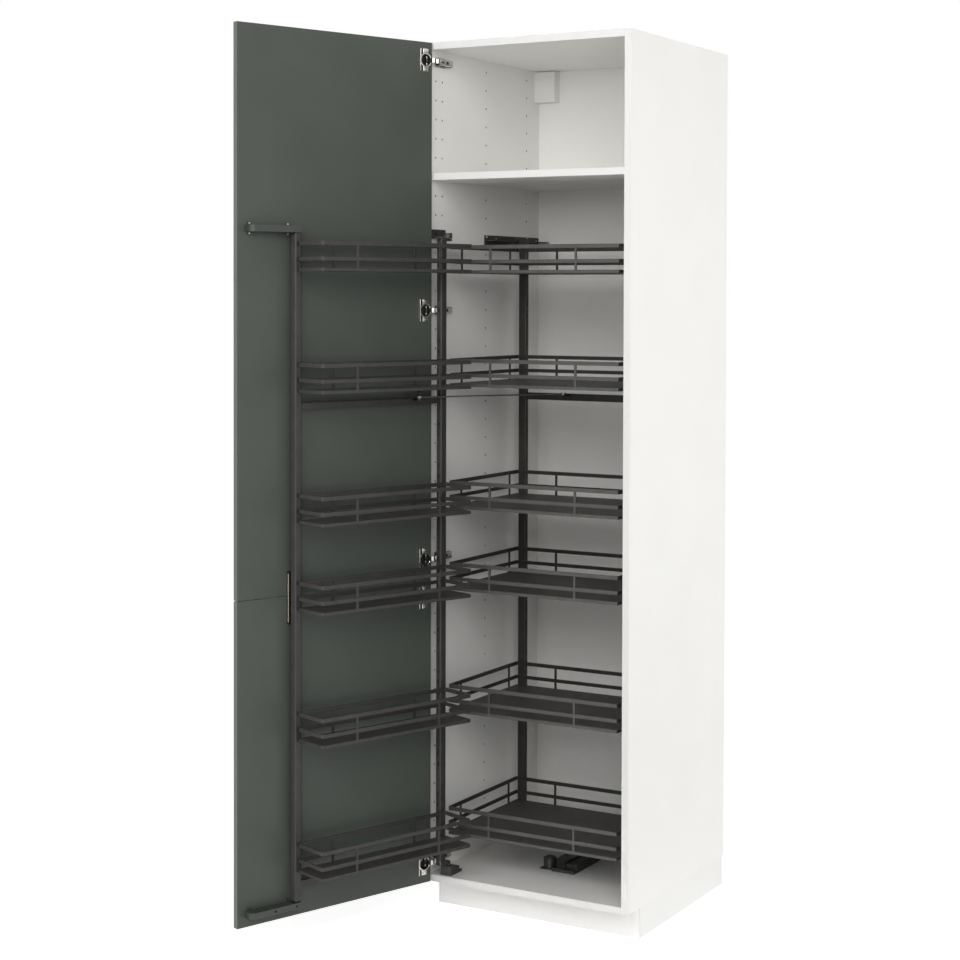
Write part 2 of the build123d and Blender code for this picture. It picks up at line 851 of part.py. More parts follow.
def basket(x0, x1, y0, y1, level, bars):
    """Three hoops of flat bar, thin uprights between them, and a ledge for the tray."""
    low = level - bottom_rail_drop - bottom_rail_height / 2
    hoops = ((level, rail_height), (level - middle_rail_drop, middle_rail_height),
             (level - bottom_rail_drop, bottom_rail_height))
    frame = None
    for centre, height in hoops:
        ring = hoop(x0, x1, y0, y1, centre - height / 2, centre + height / 2, basket_corner, rail_thickness)
        frame = ring if frame is None else frame + ring
    inset = rail_thickness
    ledge = hoop(x0 + inset, x1 - inset, y0 + inset, y1 - inset, low, low + ledge_thickness,
                 basket_corner - inset, ledge_width)
    half, wall = bar_width / 2, rail_thickness
    top = level + rail_height / 2
    for along, place, side in bars:
        near, far = (y0, y1) if along == "x" else (x0, x1)
        start, end = (near, near + wall) if side == "near" else (far - wall, far)
        if along == "x":
            frame += block(place - half, place + half, start, end, low, top)
        else:
            frame += block(start, end, place - half, place + half, low, top)
    return frame + ledge


def basket_tray(x0, x1, y0, y1, level):
    inset = rail_thickness + tray_clearance
    z0 = level - bottom_rail_drop - bottom_rail_height / 2 + ledge_thickness
    return rounded_slab(x0 + inset, x1 - inset, y0 + inset, y1 - inset, z0, z0 + tray_thickness,
                        basket_corner - inset)


door_basket_sides = (door_basket_start, free_post_place + door_basket_past_post,
                     basket_rear, basket_rear + door_basket_depth)
inner_basket_half = inner_half - inner_basket_side_gap
inner_basket_sides = (-inner_basket_half, inner_basket_half, inner_basket_front, inner_basket_rear)


def door_basket(level):
    x0, x1 = door_basket_sides[:2]
    places = (x0 + door_basket_bar_inset, x1 - door_basket_bar_inset)
    bars = [("x", place, side) for place in places for side in ("near", "far")]
    return basket(*door_basket_sides, level, bars)


def inner_basket(level):
    x0, x1, y0, y1 = inner_basket_sides
    bars = [("x", place, side) for place in (x0 + inner_bar_inset, x1 - inner_bar_inset)
            for side in ("near", "far")]
    bars += [("y", place, side) for place in (y0 + inner_side_bar_front, y1 - inner_side_bar_rear)
             for side in ("near", "far")]
    return basket(*inner_basket_sides, level, bars)


# Pivot bearings on the cabinet

bush_diameter = pivot_pin_diameter + 2 * (bush_clearance + bush_wall)
bush_hole = bush_diameter + 2 * bush_press
bearing_top = rack_low_z - bearing_gap
bearing_x0 = pivot_x - bearing_side
bearing_rear = pivot_y - bearing_front + bearing_depth
bracket_z0 = rack_high_z + bracket_gap


def bearing_screw_places():
    y = bearing_rear + bearing_foot_depth / 2
    middle, half = bearing_x0 + bearing_width / 2, bearing_screw_spacing / 2
    return [(middle - half, y), (middle + half, y)]


def bottom_pivot_bearing():
    """A block round the bush that slopes down to the rear, and a screwed foot."""
    front, x1 = pivot_y - bearing_front, bearing_x0 + bearing_width
    profile = Polyline((front, floor_z), (front, bearing_top), (pivot_y + bearing_shoulder, bearing_top),
                       (bearing_rear, floor_z + bearing_rear_height), (bearing_rear, floor_z), close=True)
    body = Pos(bearing_x0, 0, 0) * extrude(Plane.YZ * make_face(profile), bearing_width)
    body += block(bearing_x0, x1, bearing_rear, bearing_rear + bearing_foot_depth,
                  floor_z, floor_z + bearing_foot_height)
    body -= [upright(x, y, floor_z, bearing_top, hole_diameter) for x, y in bearing_screw_places()]
    return body - upright(pivot_x, pivot_y, floor_z + bearing_floor, bearing_top, bush_hole)


def top_pivot_bracket():
    """A plate on the wall, a flat arm out to the pivot, and a boss for the bush."""
    half = bracket_boss_diameter / 2
    z1 = bracket_z0 + bracket_plate_height
    arm_top = bracket_z0 + bracket_arm_thickness
    wall = -inner_half
    bracket = block(wall, wall + bracket_plate, pivot_y - half, bracket_plate_rear, bracket_z0, z1)
    bracket += block(wall, pivot_x, pivot_y - half, pivot_y + half, bracket_z0, arm_top)
    bracket += upright(pivot_x, pivot_y, bracket_z0, bracket_z0 + bracket_boss_height, bracket_boss_diameter)
    bracket -= upright(pivot_x, pivot_y, bracket_z0, z1, bush_hole)
    places = hinge_screw_places()
    return bracket - [along_x(wall, wall + bracket_plate, y, fitting_row, hole_diameter) for y in places]


def pivot_bushes():
    bore = pivot_pin_diameter + 2 * bush_clearance
    spans = ((floor_z + bearing_floor, bearing_top), (bracket_z0, bracket_z0 + bracket_boss_height))
    bushes = []
    for z0, z1 in spans:
        bush = upright(pivot_x, pivot_y, z0, z1, bush_diameter)
        bushes.append(bush - upright(pivot_x, pivot_y, z0, z1, bore))
    return bushes


# Inner frame and its guides

post_x0 = -inner_half + frame_post_inset
post_x1 = post_x0 + frame_post_width
post_y1 = frame_post_y + frame_post_depth
frame_bar_y = frame_post_y + post_corner
frame_low_z = floor_z + frame_post_bottom


def frame_posts():
    post = rectangular_tube(post_x0, post_x1, frame_post_y, post_y1, frame_low_z, frame_top_z)
    post -= hook_slots(post_x1, (frame_post_y + post_y1) / 2, frame_low_z, frame_top_z)
    return [post, mirrored(post)]


def frame_post_caps():
    sides = (post_x0, post_x1, frame_post_y, post_y1)
    caps = [tube_cap(*sides, frame_low_z, -1), tube_cap(*sides, frame_top_z, 1)]
    return caps + [mirrored(cap) for cap in caps]


def frame_crossbars():
    bars = []
    for height in (frame_lower_bar, frame_upper_bar):
        z0 = floor_z + height
        bars.append(block(post_x1, -post_x1, frame_bar_y, frame_bar_y + frame_bar_thickness,
                          z0, z0 + frame_bar_height))
    return bars


glide_z0 = frame_top_z + cap_thickness
flange_z0 = glide_z0 + wall_flange_rise
wall_plate_z0 = fitting_row + wall_plate_edge - wall_plate_height
wall_plate_rear = back_y - wall_plate_back_gap


def upper_guide_plate():
    """A plate on the left wall with a level flange that the glide runs along."""
    wall = -inner_half
    z1 = wall_plate_z0 + wall_plate_height
    plate = block(wall, wall + wall_plate_thickness, wall_plate_front, wall_plate_rear, wall_plate_z0, z1)
    plate += block(wall, wall + wall_plate_thickness + wall_flange_width, wall_plate_front, wall_plate_rear,
                   flange_z0, flange_z0 + wall_flange_thickness)
    holes = [along_x(wall, wall + wall_plate_thickness, y, fitting_row, hole_diameter)
             for y in (middle_column, rear_column)]
    return plate - holes


def upper_glide():
    """A block on the left post with a slot round the edge of the wall flange."""
    x1 = post_x1
    y0 = frame_post_y + frame_post_depth / 2 - glide_depth / 2
    body = block(x1 - glide_width, x1, y0, y0 + glide_depth, glide_z0, glide_z0 + glide_height)
    flange_edge = -inner_half + wall_plate_thickness + wall_flange_width
    spare = glide_clearance
    return body - block(x1 - glide_width, flange_edge + glide_end_gap, y0, y0 + glide_depth,
                        flange_z0 - spare, flange_z0 + wall_flange_thickness + spare)


floor_base_z = floor_z + floor_base_thickness
runner_x0 = runner_x - runner_width / 2
runner_x1 = runner_x + runner_width / 2
channel_x0 = runner_x0 - runner_clearance - channel_wall
channel_x1 = runner_x1 + runner_clearance + channel_wall
channel_rear = back_y - channel_back_gap


def floor_runner():
    """The bar under the frame that slides in the floor channel, and its upright."""
    z0 = floor_base_z + runner_lift
    z1 = z0 + runner_height
    bar = block(runner_x0, runner_x1, runner_front, frame_bar_y, z0, z1)
    top = floor_z + frame_lower_bar + frame_bar_height
    return bar + block(runner_x0, runner_x1, frame_bar_y - runner_upright, frame_bar_y, z1, top)


def floor_guide_screw_places():
    """Two screws beside the channel and two behind the round housing."""
    rear = floor_base_rear - floor_screw_inset
    front = floor_base_front + lip_thickness + floor_screw_inset
    middle = (floor_base_left + channel_x0) / 2
    left = drum_pad_left + floor_screw_inset
    return [(middle, front), (middle, rear), (left, floor_base_front + floor_screw_rear), (left, rear)]


def floor_guide():
    """A base plate with a front lip, a round housing at its left, and the runner's channel."""
    y0, z0 = floor_base_front, floor_base_z
    guide = block(floor_base_left, channel_x1, y0, floor_base_rear, floor_z, z0)
    guide += block(drum_pad_left, floor_base_left, drum_pad_front, floor_base_rear, floor_z, z0)
    guide += block(channel_x0, channel_x1, channel_front, channel_rear, floor_z, z0)
    for x in (channel_x0, channel_x1 - channel_wall):
        guide += block(x, x + channel_wall, channel_front, channel_rear, z0, z0 + channel_height)
    guide += block(floor_base_left, channel_x1, y0, y0 + lip_thickness, z0, z0 + lip_height)
    guide += upright(drum_x, drum_y, z0, z0 + drum_height, drum_diameter)
    guide += upright(drum_x, drum_y, z0 + drum_height, z0 + drum_height + drum_hub_height, drum_hub_diameter)
    return guide - [upright(x, y, floor_z, z0, hole_diameter) for x, y in floor_guide_screw_places()]


# Pull rod

ball_x = pivot_x + ball_place * cos(turn) + ball_offset * sin(turn)
ball_y = pivot_y - ball_place * sin(turn) + ball_offset * cos(turn)
rod_near_z = stud_top_z + rod_near_gap + rod_near_eye_height / 2
rod_far_y = frame_post_y - rod_far_inset
rod_bracket_z = floor_z + frame_upper_bar + rod_bracket_lift
rod_far_z = rod_bracket_z + rod_bracket_thickness + rod_far_gap + rod_far_eye_height / 2


def eye(x, y, z, diameter, height, hole):
    z0, z1 = z - height / 2, z + height / 2
    return upright(x, y, z0, z1, diameter) - upright(x, y, z0, z1, hole)


def pull_rod():
    """A round rod with an eye on the ball stud's pin and an eye over the frame's bracket."""
    near = Vector(ball_x, ball_y, rod_near_z)
    far = Vector(rod_far_x, rod_far_y, rod_far_z)
    way = (far - near).normalized()
    near_hole = stud_pin_diameter + 2 * stud_clearance
    start = near + way * (near_hole / 2 + rod_near_eye_diameter / 2) / 2
    end = far - way * (rod_far_hole_diameter / 2 + rod_far_eye_diameter / 2) / 2
    length = (end - start).length
    rod = Plane(origin=start, z_dir=way) * extrude(Circle(rod_diameter / 2), length)
    rod += eye(ball_x, ball_y, rod_near_z, rod_near_eye_diameter, rod_near_eye_height, near_hole)
    return rod + eye(rod_far_x, rod_far_y, rod_far_z, rod_far_eye_diameter, rod_far_eye_height,
                     rod_far_hole_diameter)


def rod_bracket():
    """An angle on the frame's crossbar, under the rod's far eye."""
    half = rod_bracket_width / 2
    x0, x1 = rod_far_x - half, rod_far_x + half
    z0, z1 = rod_bracket_z, rod_bracket_z + rod_bracket_thickness
    plate = rounded_slab(x0, x1, rod_far_y - half, frame_bar_y + half, z0, z1, rod_bracket_corner)
    plate &= block(x0, x1, rod_far_y - half, frame_bar_y, z0, z1)
    leaf_y = frame_bar_y - rod_bracket_thickness
    return plate + block(x0, x1, leaf_y, frame_bar_y, floor_z + frame_upper_bar, z1)


# Screws

def wall_screw(y, z, plate):
    """A system screw in the left wall through a plate of this thickness."""
    return Pos(-inner_half + plate, y, z) * Rot(0, 90, 0) * system_screw()


def cabinet_screws():
    pair = hinge_screw_places()
    screws = [wall_screw(y, z, plate_thickness) for z in hinge_heights for y in pair]
    screws += [wall_screw(y, fitting_row, bracket_plate) for y in pair]
    screws += [wall_screw(y, fitting_row, wall_plate_thickness) for y in (middle_column, rear_column)]
    foot = floor_z + bearing_foot_height
    screws += [Pos(x, y, foot) * system_screw() for x, y in bearing_screw_places()]
    screws += [Pos(x, y, floor_base_z) * system_screw() for x, y in floor_guide_screw_places()]
    return screws


def door_screws():
    return [Pos(x, clamp, z) * Rot(-90, 0, 0) * door_screw() for x, z, clamp in door_screw_places()]


def write(name, shapes, place=Pos(0, 0, 0)):
    """Put a node's solids in the cabinet's frame and write them to a file."""
    shapes = shapes if isinstance(shapes, list) else [shapes]
    solids = []
    for shape in shapes:
        solids += (origin_at * place * shape).solids()
    export_step(solids[0] if len(solids) == 1 else Compound(children=solids), f"parts/{name}.step")


os.makedirs("parts", exist_ok=True)

left_panel = left_side_panel()
write("left_side_panel", left_panel)
write("right_side_panel", mirrored(left_panel))
write("top_panel", cross_panel(ceiling_z, cabinet_depth))
write("bottom_panel", bottom_panel())
write("fixed_shelf", cross_panel(shelf_z, back_y))
write("back_panel", back_panel())
write("carcass_dowels", carcass_dowels())
write("plinth_front", plinth_front())
write("plinth_sides", plinth_sides())
write("plinth_clips", [plinth_clip(x) for x in (-leg_x, leg_x)])
write("levelling_legs", [levelling_leg(x, y) for x, y in leg_places])
write("leg_sockets", [leg_socket(x, y) for x, y in leg_places])
write("suspension_covers", [suspension_cover(), mirrored(suspension_cover())])
write("suspension_brackets", [suspension_bracket(), mirrored(suspension_bracket())])
write("hinge_plates", [hinge_plate(z) for z in hinge_heights])
write("hinge_arms", [hinge_arm(z) for z in hinge_heights])
write("hinge_depth_screws", [depth_screw(z) for z in hinge_heights])
write("top_pivot_bracket", top_pivot_bracket())
write("bottom_pivot_bearing", bottom_pivot_bearing())
write("pivot_bushes", pivot_bushes())
write("upper_guide_plate", upper_guide_plate())
write("floor_guide", floor_guide())
write("cabinet_screws", cabinet_screws())

write("upper_door", door_leaf(seam_z + seam_gap / 2, upper_leaf_top), door_at)
write("lower_door", door_leaf(lower_leaf_bottom, seam_z - seam_gap / 2), door_at)
write("joining_plate", joining_plate(), door_at)
write("hinge_cups", [hinge_cup(z) for z in hinge_heights], door_at)
write("hinge_pins", [hinge_pin(z) for z in hinge_heights], door_at)
write("door_guide_rails", [guide_rail(rail_top_z, True), guide_rail(rail_bottom_z, False)], door_at)
write("door_screws", door_screws(), door_at)
write("guide_shoes", [guide_shoe(True), guide_shoe(False)], door_at)

write("pivot_post", pivot_post(), rack_at)
write("pivot_arms", pivot_arms(), rack_at)
write("free_post", free_post(), rack_at)
write("free_post_caps", free_post_caps(), rack_at)
write("rack_crossbars", rack_crossbars(), rack_at)
write("ball_stud", ball_stud(), rack_at)
for number, level in enumerate(basket_levels, 1):
    write(f"door_basket_{number}", door_basket(level), rack_at)
    write(f"inner_basket_{number}", inner_basket(level))
write("door_trays", [basket_tray(*door_basket_sides, level) for level in basket_levels], rack_at)
write("inner_trays", [basket_tray(*inner_basket_sides, level) for level in basket_levels])

write("frame_posts", frame_posts())
write("frame_post_caps", frame_post_caps())
write("frame_crossbars", frame_crossbars())
write("rod_bracket", rod_bracket())
write("floor_runner", floor_runner())
write("upper_glide", upper_glide())
write("pull_rod", pull_rod())

# Where the moving pieces go when the door shuts
shut_ball_x, shut_ball_y = pivot_x + ball_place, pivot_y + ball_offset
rod_reach = sqrt((rod_far_x - ball_x) ** 2 + (rod_far_y - ball_y) ** 2)
frame_travel = shut_ball_y + sqrt(rod_reach ** 2 - (rod_far_x - shut_ball_x) ** 2) - rod_far_y
open_rod = atan2(rod_far_x - ball_x, rod_far_y - ball_y)
rod_turn = degrees(open_rod - asin((rod_far_x - shut_ball_x) / rod_reach))
shoe_travel = pivot_x + free_post_place + half_width - door_reveal - shoe_place
print("hinge pin", round(pin_x, 3), round(pin_y - plinth_setback, 3))
print("rack pivot", round(pivot_x, 3), round(pivot_y - plinth_setback, 3))
print("rod pivot", round(ball_x, 3), round(ball_y - plinth_setback, 3))
print("frame travel", round(frame_travel, 3), "rod turn", round(rod_turn, 3))
print("shoe travel", round(shoe_travel, 3))
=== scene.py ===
import json
import math

import bmesh
import bpy
from mathutils import Matrix, Vector


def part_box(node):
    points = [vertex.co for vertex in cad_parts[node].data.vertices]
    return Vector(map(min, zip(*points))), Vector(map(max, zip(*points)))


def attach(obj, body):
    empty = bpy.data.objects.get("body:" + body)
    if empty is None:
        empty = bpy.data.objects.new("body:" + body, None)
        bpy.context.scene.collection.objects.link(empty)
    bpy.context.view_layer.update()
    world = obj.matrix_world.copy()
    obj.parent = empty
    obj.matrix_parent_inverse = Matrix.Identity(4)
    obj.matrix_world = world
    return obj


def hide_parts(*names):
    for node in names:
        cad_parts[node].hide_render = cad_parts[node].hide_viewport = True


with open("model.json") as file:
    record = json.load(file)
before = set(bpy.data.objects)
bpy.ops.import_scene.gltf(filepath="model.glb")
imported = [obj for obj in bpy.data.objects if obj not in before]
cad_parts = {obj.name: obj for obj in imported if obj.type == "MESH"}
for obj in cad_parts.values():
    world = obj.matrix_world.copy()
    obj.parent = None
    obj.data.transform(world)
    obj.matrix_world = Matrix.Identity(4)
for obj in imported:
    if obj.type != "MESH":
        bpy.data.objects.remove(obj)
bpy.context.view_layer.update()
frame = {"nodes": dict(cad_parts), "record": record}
nodes = frame["nodes"]


# Materials: each one is built from noise in the object's own coordinates

def link(tree, a, out, b, inp):
    tree.links.new(a.outputs[out], b.inputs[inp])


def noise(tree, source, scale, detail, stretch):
    """Noise in metres of the object: scale is features per metre."""
    place = tree.nodes.new("ShaderNodeMapping")
    place.inputs["Scale"].default_value = stretch
    link(tree, source, "Object", place, "Vector")
    node = tree.nodes.new("ShaderNodeTexNoise")
    node.inputs["Scale"].default_value = scale
    node.inputs["Detail"].default_value = detail
    link(tree, place, "Vector", node, "Vector")
    return node


def ramp(tree, factor, stops):
    """A blend between two colours at two places of the factor."""
    node = tree.nodes.new("ShaderNodeValToRGB")
    for element, (place, colour) in zip(node.color_ramp.elements, stops):
        element.position = place
        element.color = (*colour, 1)
    link(tree, factor, "Fac", node, "Fac")
    return node


tone_detail, grain_detail = 4.0, 2.0
tone_low, tone_high = 0.3, 0.7
grain_depth = 0.0002
edge_samples = 4


def surface(name, dark, light, rough, metallic=0.0, tone_scale=6.0, grain_scale=900.0, grain=0.05,
            stretch=(1, 1, 1), specular=0.5, edge=0.0008):
    """A finish with slow tone drift, fine grain in gloss and relief, and softened edges."""
    material = bpy.data.materials.new(name)
    material.use_nodes = True
    tree = material.node_tree
    shader = tree.nodes["Principled BSDF"]
    shader.inputs["Metallic"].default_value = metallic
    shader.inputs["Specular IOR Level"].default_value = specular
    source = tree.nodes.new("ShaderNodeTexCoord")
    drift = noise(tree, source, tone_scale, tone_detail, stretch)
    tone = ramp(tree, drift, ((tone_low, dark), (tone_high, light)))
    link(tree, tone, "Color", shader, "Base Color")
    fine = noise(tree, source, grain_scale, grain_detail, stretch)
    gloss = tree.nodes.new("ShaderNodeMapRange")
    gloss.inputs["To Min"].default_value = rough[0]
    gloss.inputs["To Max"].default_value = rough[1]
    link(tree, fine, "Fac", gloss, "Value")
    link(tree, gloss, "Result", shader, "Roughness")
    relief = tree.nodes.new("ShaderNodeBump")
    relief.inputs["Strength"].default_value = grain
    relief.inputs["Distance"].default_value = grain_depth
    link(tree, fine, "Fac", relief, "Height")
    soft = tree.nodes.new("ShaderNodeBevel")
    soft.samples = edge_samples
    soft.inputs["Radius"].default_value = edge
    link(tree, soft, "Normal", relief, "Normal")
    link(tree, relief, "Normal", shader, "Normal")
    return material


finishes = {
    "carcass_board": surface("white_melamine", (0.872, 0.864, 0.838), (0.892, 0.884, 0.858), (0.38, 0.5)),
    "plinth_board": surface("white_foil", (0.86, 0.855, 0.835), (0.88, 0.875, 0.855), (0.42, 0.55)),
    "dowel_wood": surface("beech", (0.50, 0.33, 0.19), (0.66, 0.47, 0.29), (0.6, 0.75), grain=0.3,
                          tone_scale=160, stretch=(0.08, 1, 1)),
    "leg_plastic": surface("black_leg_plastic", (0.016, 0.016, 0.017), (0.024, 0.024, 0.025), (0.45, 0.6),
                           grain=0.2, grain_scale=1600),
    "cover_plastic": surface("white_plastic", (0.85, 0.845, 0.825), (0.87, 0.865, 0.845), (0.32, 0.42),
                             grain_scale=1500),
    "fitting_steel": surface("zinc_steel", (0.55, 0.55, 0.54), (0.66, 0.66, 0.64), (0.28, 0.42), metallic=1.0,
                             tone_scale=90, grain_scale=1400),
    "hinge_nickel": surface("nickel_plate", (0.60, 0.59, 0.56), (0.70, 0.685, 0.65), (0.14, 0.22),
                            metallic=1.0, tone_scale=70, grain_scale=1800, edge=0.0005),
    "dark_fitting": surface("dark_zinc_casting", (0.035, 0.034, 0.033), (0.052, 0.05, 0.048), (0.42, 0.58),
                            metallic=0.3, tone_scale=60, grain=0.15, grain_scale=1500),
    "rail_metal": surface("grey_green_powder_coat", (0.036, 0.040, 0.034), (0.046, 0.050, 0.043), (0.4, 0.54),
                          tone_scale=40, grain=0.2, grain_scale=2200),
    "black_plastic": surface("black_plastic", (0.012, 0.012, 0.012), (0.02, 0.02, 0.02), (0.38, 0.52),
                             grain=0.15, grain_scale=1500),
    "bush_bronze": surface("bronze", (0.42, 0.26, 0.12), (0.55, 0.36, 0.18), (0.3, 0.45), metallic=1.0,
                           tone_scale=200),
    "door_front": surface("sage_lacquer", (0.058, 0.067, 0.0565), (0.066, 0.076, 0.0645), (0.4, 0.5),
                          grain_scale=700, grain=0.06, edge=0.0012, specular=0.35),
    "frame_metal": surface("anthracite_powder_coat", (0.030, 0.029, 0.027), (0.040, 0.038, 0.036), (0.36, 0.52),
                           metallic=0.35, tone_scale=40, grain=0.2, grain_scale=2200, edge=0.001),
    "tray_board": surface("anthracite_board", (0.040, 0.038, 0.036), (0.052, 0.049, 0.047), (0.45, 0.6),
                          tone_scale=25, grain=0.1, grain_scale=1300),
}
board_core = surface("chipboard_core", (0.13, 0.085, 0.05), (0.24, 0.165, 0.10), (0.8, 0.95), tone_scale=700,
                     grain=0.5, grain_scale=1500, specular=0.2)
# The boards' front edge band, in a darker white than the board: painted shade on the front-facing edges.
edge_band_painted_shade = surface("white_edge_band_painted_shade", (0.755, 0.748, 0.728), (0.775, 0.768, 0.748), (0.36, 0.48),
                     grain_scale=1100)
# A lighter sage for the doors' free edges: painted light on the faces that look towards the front.
door_edge_painted_light = surface("sage_edge_painted_light", (0.126, 0.138, 0.120), (0.142, 0.154, 0.135), (0.36, 0.46),
                    grain_scale=900, specular=0.4)
dark_gloss = surface("dark_bronze_gloss", (0.026, 0.019, 0.010), (0.046, 0.035, 0.020), (0.12, 0.2),
                     metallic=0.5, tone_scale=60, grain_scale=1500)
# A lighter anthracite for the faces of the posts and baskets that look to the front: painted light, while the
# other faces keep the darker tone as their shade.
front_painted_light = surface("anthracite_painted_light", (0.070, 0.068, 0.065), (0.086, 0.083, 0.080), (0.38, 0.52),
                      metallic=0.35, tone_scale=40, grain=0.2, grain_scale=2200, edge=0.001)
# A pale tone for the strip on the joining plate's edge: a painted highlight.
painted_edge_highlight = surface("painted_edge_highlight", (0.74, 0.69, 0.56), (0.82, 0.77, 0.64), (0.24, 0.34), metallic=0.3,
                     tone_scale=120, grain_scale=1800, edge=0.0005)
# A near-white steel for the hinge necks' facets: a painted highlight on facets that are also turned towards the
# key lamp.
steel_painted_highlight = surface("steel_painted_highlight", (0.84, 0.835, 0.82), (0.90, 0.895, 0.88), (0.2, 0.3), metallic=0.25,
                         tone_scale=70, grain_scale=1800, edge=0.0005)
rod_steel = surface("dull_steel_wire", (0.23, 0.23, 0.225), (0.29, 0.29, 0.285), (0.3, 0.42), metallic=0.7,
                    tone_scale=90, grain_scale=1800)
# Black zinc for the dark fittings and screws; the same dark tone is also painted as shade in the hinge cups,
# necks and seams.
black_zinc_and_painted_shade = surface("black_zinc_steel_and_painted_shade", (0.03, 0.03, 0.029), (0.05, 0.05, 0.048), (0.35, 0.5), metallic=0.8,
                     tone_scale=150, grain_scale=1800)


# Finishes of the CAD nodes, and of some of their faces, in metres

facing = 0.9
hole_margin = 0.0004
carcass_front = -0.0755
front_bar_layer = 0.004
swing = math.radians(110)
door_along = Vector((math.cos(swing), -math.sin(swing), 0))
door_corner = (-0.271536, -0.08252, 0)

for part in frame["record"]["subparts"]:
    mesh = nodes[part["node"]].data
    mesh.materials.clear()
    mesh.materials.append(finishes[part["material_slot"]])


def second_finish(node, finish, chosen):
    """Gives the faces of a CAD node that are chosen by their middle and normal another finish."""
    mesh = nodes[node].data
    mesh.materials.append(finish)
    index = len(mesh.materials) - 1
    for face in mesh.polygons:
        if chosen(face.center, face.normal):
            face.material_index = index


def cut_into_board(node):
    """Says whether a face of this panel is a wall of a hole or groove, not one of its six sides."""
    low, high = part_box(node)

    def inside(middle, normal):
        return all(a + hole_margin < value < b - hole_margin for a, value, b in zip(low, middle, high))
    return inside


def faces_free_edge(middle, normal):
    """Says whether a face looks along the open door to its free edge."""
    return normal.dot(door_along) > facing


# Holes and grooves show the chipboard core; the front edges get the darker white as painted shade.
for panel in ("left_side_panel", "right_side_panel", "top_panel", "bottom_panel", "fixed_shelf"):
    second_finish(panel, board_core, cut_into_board(panel))
    second_finish(panel, edge_band_painted_shade, lambda middle, normal: normal.y < -facing and middle.y < carcass_front)
# The doors' free edges get the lighter sage as painted light.
for leaf in ("upper_door", "lower_door"):
    second_finish(leaf, door_edge_painted_light, faces_free_edge)
for node, finish in (("joining_plate", dark_gloss), ("ball_stud", black_zinc_and_painted_shade), ("rod_bracket", black_zinc_and_painted_shade),
                     ("hinge_depth_screws", black_zinc_and_painted_shade), ("pull_rod", rod_steel)):
    nodes[node].data.materials[0] = finish
# Faces of the posts and baskets that look towards the front get the lighter anthracite as painted light.
for post in ("pivot_post", "free_post"):
    second_finish(post, front_painted_light, faces_free_edge)
for number in range(1, 7):
    second_finish(f"door_basket_{number}", front_painted_light, faces_free_edge)
    inner_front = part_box(f"inner_basket_{number}")[0][1] + front_bar_layer
    second_finish(f"inner_basket_{number}", front_painted_light,
                  lambda middle, normal: normal.y < -facing and middle.y < inner_front)


# Small metal pieces, in millimetres of the frame that they are placed in

cabinet_at = Matrix.Translation((0, -0.076, 0))
door_at = Matrix.Translation(door_corner) @ Matrix.Rotation(-swing, 4, "Z")
sideways = Matrix.Rotation(math.radians(90), 4, "Y")
outwards = Matrix.Rotation(math.radians(-90), 4, "X")
bright, dark, accent = range(3)
sharp_angle = math.radians(40)


def piece(name, body, bm, materials, stands_for=None):
    mesh = bpy.data.meshes.new(name)
    bm.to_mesh(mesh)
    bm.free()
    for material in materials:
        mesh.materials.append(material)
    mesh.polygons.foreach_set("use_smooth", [True] * len(mesh.polygons))
    mesh.set_sharp_from_angle(angle=sharp_angle)
    obj = bpy.data.objects.new(name, mesh)
    bpy.context.scene.collection.objects.link(obj)
    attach(obj, body)
    if stands_for:
        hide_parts(stands_for)


def in_metres(place):
    return place @ Matrix.Scale(0.001, 4)


def spot(frame_at, x, y, z, turn=Matrix.Identity(4)):
    """A place in the cabinet's or the door's frame."""
    return frame_at @ Matrix.Translation((x / 1000, y / 1000, z / 1000)) @ turn


def rounded_block(bm, place, low, high, bevel, slot=bright):
    """A block with rounded edges."""
    before = set(bm.faces)
    size = [b - a for a, b in zip(low, high)]
    middle = [(a + b) / 2 for a, b in zip(low, high)]
    shape = Matrix.Translation(middle) @ Matrix.Diagonal((*size, 1))
    made = bmesh.ops.create_cube(bm, size=1.0, matrix=shape)
    edges = {edge for vert in made["verts"] for edge in vert.link_edges}
    bmesh.ops.bevel(bm, geom=list(edges), offset=bevel, segments=3, profile=0.5, affect="EDGES")
    faces = [face for face in bm.faces if face not in before]
    verts = {vert for face in faces for vert in face.verts}
    bmesh.ops.transform(bm, matrix=in_metres(place), verts=list(verts))
    for face in faces:
        face.material_index = slot


def turned(bm, place, profile, segments, slot=bright, height=None, closed=True):
    """A profile of radius and level turned round local Z; height may lift each point."""
    rings = []
    for radius, level in profile:
        ring = []
        for step in range(segments):
            angle = 2 * math.pi * step / segments
            x, y = radius * math.cos(angle), radius * math.sin(angle)
            lift = height(x, y) if height else 0.0
            ring.append(bm.verts.new(in_metres(place) @ Vector((x, y, level + lift))))
        rings.append(ring)
    for lower, upper in zip(rings, rings[1:]):
        for step in range(segments):
            after = (step + 1) % segments
            face = bm.faces.new((lower[step], lower[after], upper[after], upper[step]))
            face.material_index = slot
    if closed:
        bm.faces.new(rings[-1]).material_index = slot


# Screws with domed heads and a cross recess: head radius, rise, shank radius and length

system_screw = (4.0, 2.0, 2.45, 13.0)
chip_screw = (3.3, 1.5, 1.75, 12.0)
rail_screw = (2.5, 1.2, 1.75, 12.0)


def cross_recess(reach, width, depth):
    side_run, end_run = 0.25, 0.35

    def drop(x, y):
        narrow, wide = sorted((abs(x), abs(y)))
        across = min(max((width - narrow) / side_run, 0.0), 1.0)
        along = min(max((reach - wide) / end_run, 0.0), 1.0)
        return -depth * across * along
    return drop


